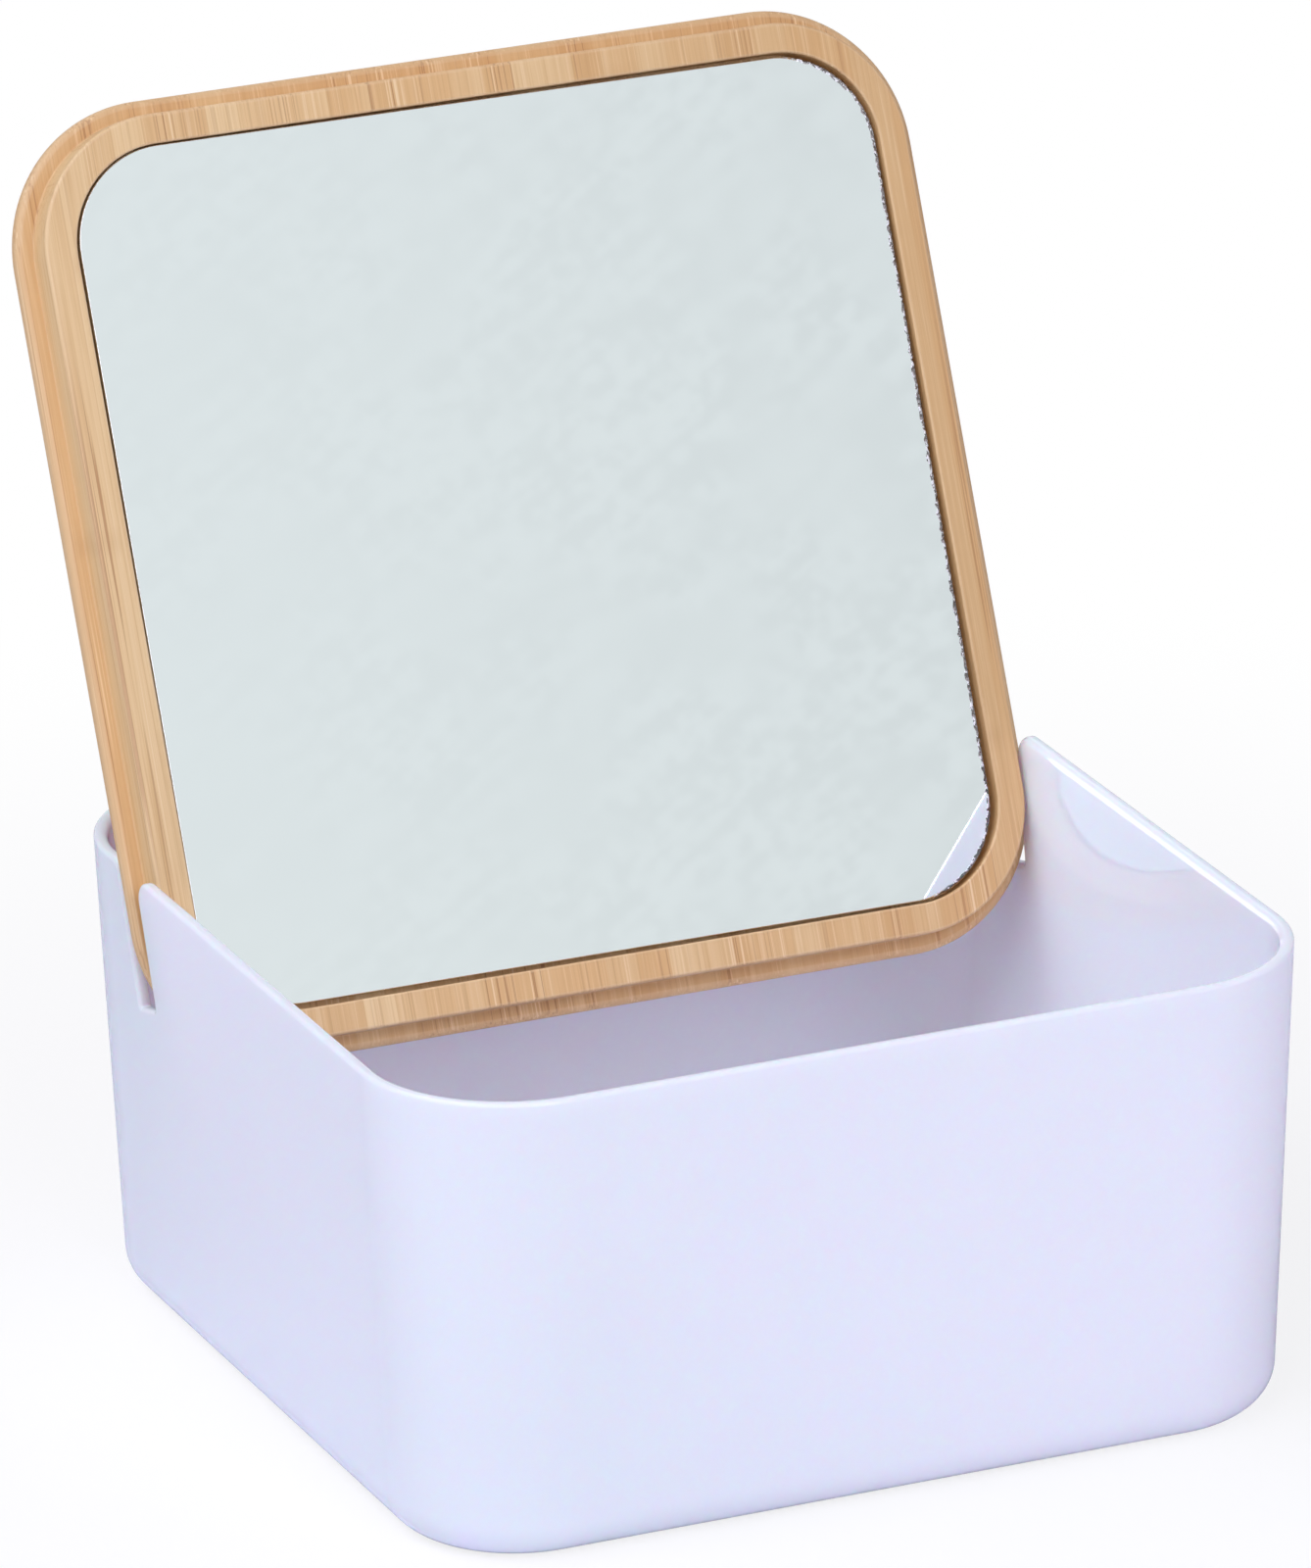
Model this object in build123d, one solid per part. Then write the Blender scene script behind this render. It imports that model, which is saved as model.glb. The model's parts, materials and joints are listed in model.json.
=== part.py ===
"""Vanity box with a lift-off mirror lid that stands in two slots of the box.

Frame: millimetres, +Z up, +Y to the back, +X to the right of someone who faces
the mirror.  The origin is the middle of the face that the box rests on.

The box is one moulded shell with drafted walls and a soft base edge.  A leaning
slot is cut down from the rim in each side wall.  The lid is one bamboo board with
a rebate all round: its thin flange lies on the rim when the box is closed, and its
thicker plug, which carries the mirror, drops inside the walls.  To use the mirror,
the lid is stood in the slots, where the ends of the flange drop in.  The flange is
thinner than the slot, so the lid falls back until it touches the slot twice: at the
lower front corner and at the rounded mouth behind.
"""

from build123d import *

import math
import os

os.makedirs("parts", exist_ok=True)

# ---- Box shell ---------------------------------------------------------------
BOX_WIDTH = 170.0  # outside, across the rim, along X
BOX_DEPTH = 170.0  # outside, across the rim, along Y
BOX_HEIGHT = 85.0  # resting face to rim
CORNER_RADIUS = 27.0  # outer corners in plan, at the rim
WALL = 2.5  # side walls
FLOOR = 2.5  # base
DRAFT = 2.5  # degrees, the walls draw in towards the base
BASE_EDGE_RADIUS = 8.0  # round between the walls and the resting face
RIM_EDGE_BREAK = 0.5  # bevel along the edges of the rim and of the slots

# ---- Slots in the side walls -------------------------------------------------
SLOT_WIDTH = 7.7  # across the slot
SLOT_DEPTH = 24.2  # rim to the middle of the slot's bottom, straight down
SLOT_LEAN = 14.0  # degrees from upright, top towards the back
SLOT_FROM_BACK = 42.85  # back of the rim to the middle of the slot's bottom
SLOT_CORNER_RADIUS = 0.6  # inside corners of the slot's bottom
FRONT_MOUTH_RADIUS = 4.0  # round from the rim into the slot, front side
REAR_MOUTH_RADIUS = 2.5  # the same behind, where the flange leans on it

# ---- Lid board ---------------------------------------------------------------
LID_END_INSET = 0.4  # front and back edges of the lid to the outside of the rim
PLUG_THICKNESS = 6.3  # what the plug stands out of the flange
FLANGE_THICKNESS = 3.1  # thin edge of the board
FRAME_WIDTH = 5.5  # wood between the plug's side and the mirror's pocket
FLANGE_EDGE_RADIUS = 1.2  # both edges of the flange
PLUG_EDGE_BREAK = 0.4  # bevel on the front edge of the plug
POCKET_EDGE_BREAK = 0.3  # bevel on the edge of the wood round the mirror

# ---- Mirror ------------------------------------------------------------------
GLASS_THICKNESS = 3.0
GLASS_RECESS = 0.8  # face of the glass below the face of the wood
GLASS_EDGE_BREAK = 0.3  # ground bevel on both edges of the glass
TAPE_THICKNESS = 0.7  # double-sided foam tape behind the glass
TAPE_WIDTH = 20.0
TAPE_COUNT = 3  # strips side by side, running up the lid
TAPE_MARGIN = 12.0  # outer edges of the strips to the edge of the glass

# ---- Clearances --------------------------------------------------------------
PLUG_CLEARANCE = 0.3  # plug to the side wall, where the standing lid is nearest
SEAT_CLEARANCE = 0.2  # flange to each side and to the bottom of a slot
GLASS_GAP = 0.45  # round the glass in its pocket
CUT_MARGIN = 2.0  # how far a cutting tool runs past what it cuts


def inner_half_width(z):
    """Half the inside width of the box at the height z."""
    return BOX_WIDTH / 2 - WALL - (BOX_HEIGHT - z) * math.tan(math.radians(DRAFT))


def lean_vectors(angle):
    """Unit vectors up a line that leans back by angle in radians, and across it, backwards."""
    return Vector(0, math.sin(angle), math.cos(angle)), Vector(0, math.cos(angle), -math.sin(angle))


def rise_to(start, z):
    """The point at the height z on the line from start up the slot."""
    return start + SLOT_UP * ((z - start.Z) / SLOT_UP.Z)


# ---- Slot, worked out in the YZ plane ----------------------------------------
SLOT_UP, SLOT_ACROSS = lean_vectors(math.radians(SLOT_LEAN))
SLOT_BOTTOM = Vector(0, BOX_DEPTH / 2 - SLOT_FROM_BACK, BOX_HEIGHT - SLOT_DEPTH)
SLOT_FRONT_CORNER = SLOT_BOTTOM - SLOT_ACROSS * (SLOT_WIDTH / 2)
SLOT_REAR_CORNER = SLOT_BOTTOM + SLOT_ACROSS * (SLOT_WIDTH / 2)
FRONT_MOUTH = rise_to(SLOT_FRONT_CORNER, BOX_HEIGHT)
REAR_MOUTH = rise_to(SLOT_REAR_CORNER, BOX_HEIGHT)
REAR_ROUND_CENTRE = rise_to(
    SLOT_REAR_CORNER + SLOT_ACROSS * REAR_MOUTH_RADIUS, BOX_HEIGHT - REAR_MOUTH_RADIUS
)

# ---- Where the standing lid comes to rest ------------------------------------
# Its front face meets the slot's front corner and its back face meets the round of the
# mouth, so the distance between those two, across the lid, gives the lean.
ACROSS = REAR_ROUND_CENTRE - SLOT_FRONT_CORNER
HELD_BETWEEN = FLANGE_THICKNESS + REAR_MOUTH_RADIUS + 2 * SEAT_CLEARANCE
LID_LEAN = math.acos(HELD_BETWEEN / ACROSS.length) - math.atan2(ACROSS.Z, ACROSS.Y)
LID_UP, LID_BACKWARDS = lean_vectors(LID_LEAN)

LID_WIDTH = BOX_WIDTH  # flush with the rim at the sides, where the slots hold it
LID_LENGTH = BOX_DEPTH - 2 * LID_END_INSET
LID_CORNER_RADIUS = CORNER_RADIUS - LID_END_INSET

# The rounded lower corners of the flange stand on the inner edges of the slots' bottoms.
# CORNER_RISE is how far up the lid that meeting point lies.
CORNER_REACH = inner_half_width(SLOT_BOTTOM.Z) - (LID_WIDTH / 2 - LID_CORNER_RADIUS)
CORNER_RISE = LID_CORNER_RADIUS - math.sqrt(LID_CORNER_RADIUS**2 - CORNER_REACH**2)
FACE_POINT = SLOT_FRONT_CORNER + LID_BACKWARDS * SEAT_CLEARANCE
MEETING_POINT = FACE_POINT + LID_UP * CORNER_RISE + LID_BACKWARDS * FLANGE_THICKNESS
HEIGHT_OVER_BOTTOM = (MEETING_POINT - SLOT_BOTTOM).dot(SLOT_UP)
LID_FOOT = FACE_POINT - LID_UP * ((HEIGHT_OVER_BOTTOM - SEAT_CLEARANCE) / LID_UP.dot(SLOT_UP))

# Frame of the lid: x across, y up the lid, z out of the mirror.  Its origin is the middle
# of the flange's front face.
LID_PLANE = Plane(
    origin=LID_FOOT + LID_UP * (LID_LENGTH / 2), x_dir=(1, 0, 0), z_dir=-LID_BACKWARDS
)

# The plug is as wide as the box allows at the height where its straight sides begin.
PLUG_SIDE_START = LID_FOOT.Z + LID_CORNER_RADIUS * LID_UP.Z
REBATE = LID_WIDTH / 2 - (inner_half_width(PLUG_SIDE_START) - PLUG_CLEARANCE)
POCKET_INSET = REBATE + FRAME_WIDTH
GLASS_INSET = POCKET_INSET + GLASS_GAP
GLASS_FACE = PLUG_THICKNESS - GLASS_RECESS
GLASS_BACK = GLASS_FACE - GLASS_THICKNESS
POCKET_FLOOR = GLASS_BACK - TAPE_THICKNESS


def drafted_block(inset, bottom, edge_radius):
    """The box's outline moved in by inset, drawn down from the rim to bottom with draft."""
    outline = RectangleRounded(
        BOX_WIDTH - 2 * inset, BOX_DEPTH - 2 * inset, CORNER_RADIUS - inset
    )
    block = extrude(
        Pos(0, 0, BOX_HEIGHT) * outline, BOX_HEIGHT - bottom, dir=(0, 0, -1), taper=DRAFT
    )
    return fillet(block.edges().group_by(Axis.Z)[0], edge_radius)


def slot_cutter():
    """One bar along X that cuts both slots, with the mouths' rounds in its outline."""
    run_out = Vector(0, FRONT_MOUTH_RADIUS + REAR_MOUTH_RADIUS + CUT_MARGIN, 0)
    above = Vector(0, 0, CUT_MARGIN)
    corners = [
        FRONT_MOUTH - run_out,
        FRONT_MOUTH,
        SLOT_FRONT_CORNER,
        SLOT_REAR_CORNER,
        REAR_MOUTH,
        REAR_MOUTH + run_out,
        REAR_MOUTH + run_out + above,
        FRONT_MOUTH - run_out + above,
    ]
    outline = make_face(Polyline([(c.Y, c.Z) for c in corners], close=True))
    rounds = [
        (FRONT_MOUTH, FRONT_MOUTH_RADIUS),
        (REAR_MOUTH, REAR_MOUTH_RADIUS),
        (SLOT_FRONT_CORNER, SLOT_CORNER_RADIUS),
        (SLOT_REAR_CORNER, SLOT_CORNER_RADIUS),
    ]
    for corner, radius in rounds:
        outline = fillet(outline.vertices().sort_by_distance((corner.Y, corner.Z))[0], radius)
    return extrude(Plane.YZ * outline, BOX_WIDTH / 2 + CUT_MARGIN, both=True)


def lip_edges(shell):
    """The edges that run along the walls at the rim and round the slots.

    The faces that cross the wall's thickness are the rim's flats and the slots' faces.
    Where two of them meet, the edge crosses the wall, and it is left out.
    """
    rim_flats = shell.faces().filter_by(Plane.XY).group_by(Axis.Z)[-1]
    slot_faces = shell.faces().filter_by(lambda f: f.bounding_box().size.Y < SLOT_WIDTH)
    edges = [edge for face in rim_flats + slot_faces for edge in face.edges()]
    return [edge for edge in edges if sum(edge.is_same(other) for other in edges) == 1]


def box_shell():
    """The moulded box: the drafted outside less the drafted inside and the two slots."""
    outside = drafted_block(0, 0, BASE_EDGE_RADIUS)
    inside = drafted_block(WALL, FLOOR, BASE_EDGE_RADIUS - WALL)
    shell = outside - inside - slot_cutter()
    return chamfer(lip_edges(shell), RIM_EDGE_BREAK)


def lid_slab(inset, bottom, top):
    """The lid's outline moved in by inset, from bottom to top in the lid's own z."""
    outline = RectangleRounded(
        LID_WIDTH - 2 * inset, LID_LENGTH - 2 * inset, LID_CORNER_RADIUS - inset
    )
    return extrude(Pos(0, 0, bottom) * outline, top - bottom)


def lid_board():
    """The bamboo board: flange, plug and the pocket for the mirror."""
    flange = lid_slab(0, -FLANGE_THICKNESS, 0)
    flange = fillet(flange.edges().filter_by(Axis.Z, reverse=True), FLANGE_EDGE_RADIUS)
    plug = lid_slab(REBATE, 0, PLUG_THICKNESS)
    plug = chamfer(plug.edges().group_by(Axis.Z)[-1], PLUG_EDGE_BREAK)
    board = flange + plug - lid_slab(POCKET_INSET, POCKET_FLOOR, PLUG_THICKNESS + CUT_MARGIN)
    face = board.faces().sort_by(Axis.Z)[-1]
    return chamfer(face.inner_wires()[0].edges(), POCKET_EDGE_BREAK)


def mirror_glass():
    """The mirror: one pane with ground edges."""
    pane = lid_slab(GLASS_INSET, GLASS_BACK, GLASS_FACE)
    return chamfer(pane.edges().filter_by(Axis.Z, reverse=True), GLASS_EDGE_BREAK)


def mirror_tape():
    """Strips of foam tape between the pocket's floor and the glass."""
    glass_width = LID_WIDTH - 2 * GLASS_INSET
    glass_length = LID_LENGTH - 2 * GLASS_INSET
    pitch = (glass_width - 2 * TAPE_MARGIN - TAPE_WIDTH) / (TAPE_COUNT - 1)
    places = GridLocations(pitch, 0, TAPE_COUNT, 1)
    strips = Sketch() + places * Rectangle(TAPE_WIDTH, glass_length - 2 * TAPE_MARGIN)
    return extrude(Pos(0, 0, POCKET_FLOOR) * strips, TAPE_THICKNESS)


export_step(box_shell(), "parts/box_shell.step")
export_step(LID_PLANE * lid_board(), "parts/lid_board.step")
export_step(LID_PLANE * mirror_glass(), "parts/mirror_glass.step")
export_step(LID_PLANE * mirror_tape(), "parts/mirror_tape.step")
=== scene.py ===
"""Vanity box with a lift-off mirror lid, dressed around its packed construction model.

The moulded box, the bamboo lid and the mirror pane are surfaces worked out with numpy
in place of the plain construction solids.  The foam tape keeps its solid and gets a
finish.  Lengths are metres, +Z is up and +Y is the back of the box.  Each object sits
at the origin with its place in its mesh.
"""

import json
import logging
import math
from collections.abc import Mapping, Sequence
from dataclasses import dataclass, field
from enum import Enum
from typing import ClassVar

import bmesh
import bpy
import numpy as np
from mathutils import Matrix, Vector


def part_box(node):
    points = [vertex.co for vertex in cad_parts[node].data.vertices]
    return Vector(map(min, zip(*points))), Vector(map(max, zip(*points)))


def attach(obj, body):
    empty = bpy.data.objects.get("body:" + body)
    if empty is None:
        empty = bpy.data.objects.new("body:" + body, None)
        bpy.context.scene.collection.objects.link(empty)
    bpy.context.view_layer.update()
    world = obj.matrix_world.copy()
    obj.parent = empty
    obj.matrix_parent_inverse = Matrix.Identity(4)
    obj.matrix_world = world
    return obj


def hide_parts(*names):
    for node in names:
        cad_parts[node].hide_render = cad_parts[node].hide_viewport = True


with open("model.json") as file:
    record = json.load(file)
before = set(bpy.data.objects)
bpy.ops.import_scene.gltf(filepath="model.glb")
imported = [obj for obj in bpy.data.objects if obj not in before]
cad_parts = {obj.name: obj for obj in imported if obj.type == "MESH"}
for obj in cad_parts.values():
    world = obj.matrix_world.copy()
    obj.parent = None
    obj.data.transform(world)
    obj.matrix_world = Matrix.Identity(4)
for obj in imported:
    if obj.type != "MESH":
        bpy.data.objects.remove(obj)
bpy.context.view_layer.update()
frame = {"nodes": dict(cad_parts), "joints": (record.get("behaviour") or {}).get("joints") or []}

MM = 0.001
CORNER_STEPS = 32
LEAD = 0.5 * MM
# Point attribute that marks edges for wear and painted light: highlights, shade and sparkle.
WEAR_AND_LIGHT_ATTRIBUTE = "wear_and_light_share"

Array = np.ndarray
Pair = tuple[float, float]
Colour = tuple[float, float, float]
Piece = bpy.types.Object
Socket = bpy.types.NodeSocket
Value = Socket | float | int | Sequence[float]
Inputs = Mapping[str | int, Value]

log = logging.getLogger("vanity_box")


class Body(Enum):
    """Bodies of the frame that pieces ride on."""

    BOX = "box"
    LID = "lid"


class Slot(Enum):
    """Material slots of the record."""

    BOX_PLASTIC = "box_plastic"
    BAMBOO = "bamboo"
    MIRROR = "mirror"


class Sum(Enum):
    """Sums that a Math node does."""

    ADD = "ADD"
    SUBTRACT = "SUBTRACT"
    MULTIPLY = "MULTIPLY"
    MAXIMUM = "MAXIMUM"
    ABSOLUTE = "ABSOLUTE"
    FRACTION = "FRACT"


# ---- Curves and surfaces ----


def unit(vectors: Array) -> Array:
    """Returns the vectors along the last axis, scaled to length one."""
    return vectors / np.linalg.norm(vectors, axis=-1, keepdims=True)


def left_of(plan: Array, quarters: int = 1) -> Array:
    """Turns plane vectors to the left: (x, y) becomes (-y, x), once or more.

    Args:
        plan: The vectors, along the last axis.
        quarters: How many right angles.

    Returns:
        The turned vectors.
    """
    for _ in range(quarters):
        plan = np.stack([-plan[..., 1], plan[..., 0]], axis=-1)
    return plan


def rounded_line(
    corners: Array, radii: Array, steps: int, lead: float
) -> tuple[Array, Array]:
    """Walks a line of straight runs whose inner corners are rounded.

    At a corner the line turns from the direction u to the direction v by the angle t.
    The arc of radius r starts r * tan(|t| / 2) before the corner.  At the share s of
    the arc the direction is u turned by s * t, and the point lies at r from the arc's
    centre, square to that direction.  One lead point on each side of an arc keeps the
    runs flat when they are shaded.

    Args:
        corners: Start, inner corners and end of the line, as rows of two coordinates.
        radii: Radius at each inner corner.
        steps: Straight steps that each arc is divided into.
        lead: How far before and after an arc its lead points lie.

    Returns:
        The points along the line, and the direction of travel at each.
    """
    runs = unit(np.diff(corners, axis=0))
    before, after, corner = runs[:-1], runs[1:], corners[1:-1]
    turn = np.arctan2(
        before[:, 0] * after[:, 1] - before[:, 1] * after[:, 0],
        np.sum(before * after, axis=1),
    )
    setback = (radii * np.tan(np.abs(turn) / 2))[:, None]
    swing = (np.sign(turn) * radii)[:, None]
    start = corner - before * setback
    centre = start + swing * left_of(before)

    angle = turn[:, None, None] * np.linspace(0, 1, steps + 1)[None, :, None]
    ahead, aside = before[:, None], left_of(before)[:, None]
    heading = np.cos(angle) * ahead + np.sin(angle) * aside
    arc = centre[:, None] - swing[:, None] * left_of(heading)

    lead_in = (start - before * lead)[:, None]
    lead_out = (corner + after * (setback + lead))[:, None]
    points = np.concatenate([lead_in, arc, lead_out], axis=1).reshape(-1, 2)
    headings = np.concatenate([ahead, heading, after[:, None]], axis=1).reshape(-1, 2)
    return (
        np.vstack([corners[:1], points, corners[-1:]]),
        np.vstack([runs[:1], headings, runs[-1:]]),
    )


def bulge(heading: Array) -> Array:
    """Tells how sharply a line turns: four times the turn across a point, up to one.

    Args:
        heading: Direction of travel at each point.

    Returns:
        A number for each point, 0 on a straight run and 1 on a sharp round.
    """
    turning = np.linalg.norm(np.roll(heading, -1, 0) - np.roll(heading, 1, 0), axis=1)
    sharp = np.clip(turning * 4, 0, 1)
    sharp[[0, -1]] = 0
    return sharp


@dataclass
class Track:
    """Columns of a sweep round a rectangle with rounded corners.

    A column has a core point on the rectangle through the corners' centres, and an
    outward direction.  A profile's point that reaches r out of the core lies at
    core + r * outward.

    Attributes:
        core: Core point of each column, in the plane.
        outward: Unit vector away from the middle, for each column.
    """

    core: Array
    outward: Array

    @classmethod
    def rectangle(cls, core_half: Sequence[float], straight: int = 2) -> "Track":
        """Lays out the columns, one quarter after another.

        A quarter is one straight side, from lead to lead, and the corner after it,
        where the outward direction turns by a right angle in equal steps.  Each quarter
        is laid out to the right and then turned by a right angle more than the last.

        Args:
            core_half: Half the two sides of the rectangle through the corners' centres.
            straight: Columns of each straight side.

        Returns:
            The track, once round, with no column twice.
        """
        turning = np.linspace(0, math.pi / 2, CORNER_STEPS + 1)
        angle = np.concatenate([np.zeros(straight), turning])
        outward = np.column_stack([np.cos(angle), np.sin(angle)])
        cores, outwards = [], []
        for quarter in range(4):
            far, along = core_half if quarter % 2 == 0 else core_half[::-1]
            places = np.linspace(LEAD - along, along - LEAD, straight)
            side = np.column_stack([np.full(straight, far), places])
            core = np.vstack([side, np.tile([far, along], (len(turning), 1))])
            cores.append(left_of(core, quarter))
            outwards.append(left_of(outward, quarter))
        return cls(np.vstack(cores), np.vstack(outwards))

    def sweep(self, profile: Array) -> Array:
        """Carries a profile round the track.

        Args:
            profile: Rows of (reach out of the core, height).

        Returns:
            Points as rows of the profile by columns of the track.
        """
        reach, height = profile[:, :1, None], profile[:, 1:, None]
        plan = self.core[None] + reach * self.outward[None]
        tall = np.broadcast_to(height, (*plan.shape[:2], 1))
        return np.concatenate([plan, tall], axis=2)


@dataclass(frozen=True)
class Outline:
    """A rectangle with round corners, which sections are carried round.

    Attributes:
        half: Half its two sides.
        corner: Radius of its corners.
        centre: Its middle.
        turn: How far it is turned, in radians.
        straight: Columns of each straight side.
    """

    half: Pair
    corner: float
    centre: Pair = (0.0, 0.0)
    turn: float = 0.0
    straight: int = 2

    @property
    def track(self) -> Track:
        """Its columns, before it is turned."""
        core_half = [side - self.corner for side in self.half]
        return Track.rectangle(core_half, self.straight)

    def sweep(self, section: Array) -> Array:
        """Carries a section round the outline.

        Args:
            section: Rows of (inset from the outline, height).

        Returns:
            Points as rows of the section by columns of the track.
        """
        profile = np.column_stack([self.corner - section[:, 0], section[:, 1]])
        points = self.track.sweep(profile)
        cos, sin = math.cos(self.turn), math.sin(self.turn)
        turned = points[..., :2] @ np.array([[cos, sin], [-sin, cos]])
        points[..., :2] = turned + self.centre
        return points


@dataclass
class Skin:
    """Points and faces of one closed surface, gathered patch by patch.

    Attributes:
        points: Blocks of points, in the order that they were added.
        edge_wear_and_light: How far each point lies on an edge that gets wear and painted light,
            from 0 to 1, block by block.
        faces: Corner numbers of each face.
    """

    points: list[Array] = field(default_factory=list)
    edge_wear_and_light: list[Array] = field(default_factory=list)
    faces: list[list[int]] = field(default_factory=list)

    def add_points(self, points: Array, edge_wear_and_light: Array | float = 0.0) -> Array:
        """Adds a block of points.

        Args:
            points: Points along the last axis of an array of any shape.
            edge_wear_and_light: Share of edge wear and painted light at each point, in a shape
                that spreads over the block's.

        Returns:
            The points' numbers, in the block's shape.
        """
        first = sum(len(block) for block in self.points)
        shape = points.shape[:-1]
        self.points.append(points.reshape(-1, 3))
        self.edge_wear_and_light.append(np.broadcast_to(edge_wear_and_light, shape).reshape(-1))
        return first + np.arange(math.prod(shape)).reshape(shape)

    def add_grid(self, numbers: Array) -> None:
        """Joins rows of points with four-sided faces, all the way round.

        Args:
            numbers: The points' numbers, row by row.
        """
        here, there = numbers, np.roll(numbers, -1, axis=1)
        quads = np.stack([here[:-1], there[:-1], there[1:], here[1:]], axis=-1)
        self.faces += quads.reshape(-1, 4).tolist()

    def add_face(self, loop: Array) -> None:
        """Adds one flat face with the given corners."""
        self.faces.append(loop.tolist())

    def close_tube(self, rows: Array) -> None:
        """Joins all rows of points, and closes the first and the last with a flat face.

        Args:
            rows: The points' numbers, row by row.
        """
        self.add_grid(rows)
        self.add_face(rows[0])
        self.add_face(rows[-1])

    def to_object(self, name: str, place: Matrix) -> Piece:
        """Makes the mesh and its object, with the faces turned outwards and smooth.

        Args:
            name: Name of the object and of its mesh.
            place: Where the surface's own frame lies in the row frame.

        Returns:
            The object, at the origin, with its place in its mesh.
        """
        mesh = bpy.data.meshes.new(name)
        mesh.from_pydata(np.vstack(self.points).tolist(), [], self.faces)
        wear = mesh.attributes.new(WEAR_AND_LIGHT_ATTRIBUTE, "FLOAT", "POINT")
        wear.data.foreach_set("value", np.concatenate(self.edge_wear_and_light).astype(np.float32))
        mesh.transform(place)
        work = bmesh.new()
        work.from_mesh(mesh)
        bmesh.ops.recalc_face_normals(work, faces=work.faces)
        work.to_mesh(mesh)
        work.free()
        mesh.shade_smooth()
        return placed(name, mesh)


def placed(name: str, data: bpy.types.ID) -> Piece:
    """Puts a mesh, a lamp or a camera into the scene.

    Args:
        name: Name of the object.
        data: What it shows.

    Returns:
        The object.
    """
    item = bpy.data.objects.new(name, data)
    bpy.context.scene.collection.objects.link(item)
    return item


# ---- Node trees ----


class Wiring:
    """Adds nodes to one node tree and joins them."""

    def __init__(self, tree: bpy.types.NodeTree) -> None:
        """Empties the tree and keeps it."""
        self.tree = tree
        tree.nodes.clear()

    def add(
        self, kind: str, inputs: Inputs | None = None, **settings: object
    ) -> bpy.types.Node:
        """Adds a node.

        Args:
            kind: The node's type name, after ShaderNode.
            inputs: A value, or another node's output, for each input that is set.
            settings: The node's own properties.

        Returns:
            The node.
        """
        node = self.tree.nodes.new("ShaderNode" + kind)
        for name, value in settings.items():
            setattr(node, name, value)
        for key, value in (inputs or {}).items():
            if isinstance(value, Socket):
                self.tree.links.new(value, node.inputs[key])
            else:
                node.inputs[key].default_value = value
        return node

    def calc(self, kind: Sum, first: Value, *others: Value) -> Socket:
        """Adds a sum on numbers, one Math node after another where there are many.

        Args:
            kind: The sum.
            first: Its first number.
            others: The numbers that it takes in, one by one.

        Returns:
            The result.
        """
        for other in others or (0.0,):
            inputs = {0: first, 1: other}
            first = self.add("Math", inputs, operation=kind.value).outputs[0]
        return first

    def span(
        self, value: Value, low: float, high: float, start: float, end: float
    ) -> Socket:
        """Maps a number smoothly from one span to another, and holds it at the ends.

        Args:
            value: The number.
            low: Where the mapping starts.
            high: Where it ends.
            start: Result at low.
            end: Result at high.

        Returns:
            The result.
        """
        inputs = {"Value": value, 1: low, 2: high, 3: start, 4: end}
        return self.add("MapRange", inputs, interpolation_type="SMOOTHSTEP").outputs[0]

    def noise(
        self,
        vector: Socket,
        scale: float,
        detail: float = 2.0,
        roughness: float = 0.5,
        w: Value | None = None,
    ) -> Socket:
        """Adds fractal noise, a number about one half.

        Args:
            vector: The place.
            scale: Bumps in one unit of length.
            detail: Octaves of finer noise.
            roughness: How strong the finer octaves are.
            w: Picks another pattern for each value, if it is given.

        Returns:
            The noise.
        """
        inputs = {"Vector": vector, "Scale": scale, "Detail": detail}
        inputs["Roughness"] = roughness
        room = "3D"
        if w is not None:
            inputs["W"], room = w, "4D"
        return self.add("TexNoise", inputs, noise_dimensions=room).outputs[0]

    def mapped(
        self,
        vector: Socket,
        scale: Sequence[float] = (1, 1, 1),
        rotation: Sequence[float] = (0, 0, 0),
    ) -> Socket:
        """Turns a place and then scales it axis by axis.

        Args:
            vector: The place.
            scale: Factor along each axis.
            rotation: Turn about each axis, in radians.

        Returns:
            The new place.
        """
        for change in {"Rotation": rotation}, {"Scale": scale}:
            vector = self.add("Mapping", {"Vector": vector, **change}).outputs[0]
        return vector

    def colour(self, under: Value, over: Value, share: Value) -> Socket:
        """Lays one colour over another.

        Args:
            under: The lower colour.
            over: The upper colour.
            share: How much of the upper one shows, from 0 to 1.

        Returns:
            The joined colour.
        """
        inputs = {0: share}
        for key, shade in (6, under), (7, over):
            inputs[key] = shade if isinstance(shade, Socket) else (*shade, 1.0)
        return self.add("Mix", inputs, data_type="RGBA").outputs[2]

    def bump(
        self, height: Socket, depth: float, strength: float, under: Socket | None = None
    ) -> Socket:
        """Adds a normal that stands for a height.

        Args:
            height: The height, from 0 to 1.
            depth: What a height of 1 stands for.
            strength: How much of it shows.
            under: Normal that it is laid over, if any.

        Returns:
            The normal.
        """
        inputs = {"Height": height, "Distance": depth, "Strength": strength}
        if under is not None:
            inputs["Normal"] = under
        return self.add("Bump", inputs).outputs[0]

    def attribute(self, name: str) -> Socket:
        """Returns the value of the piece's own attribute."""
        return self.add("Attribute", attribute_name=name).outputs["Fac"]

    def place(self) -> Socket:
        """Returns the place on the object, in metres."""
        return self.add("TexCoord").outputs["Object"]

    def axes(self, vector: Socket) -> tuple[Socket, ...]:
        """Returns the x, y and z of a place."""
        return tuple(self.add("SeparateXYZ", {0: vector}).outputs)


# ---- Finishes ----


@dataclass(frozen=True)
class Finish:
    """Base of the finishes: one Principled shader, whose inputs a finish works out."""

    NAME: ClassVar[str]

    def wire(self, wiring: Wiring) -> Inputs:
        """Adds the nodes, and returns the shader's inputs by name."""
        raise NotImplementedError

    def build(self) -> bpy.types.Material:
        """Makes the material.

        Returns:
            The material.
        """
        material = bpy.data.materials.new(self.NAME)
        material.use_nodes = True
        wiring = Wiring(material.node_tree)
        shader = wiring.add("BsdfPrincipled", self.wire(wiring))
        wiring.add("OutputMaterial", {"Surface": shader.outputs[0]})
        return material


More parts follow.
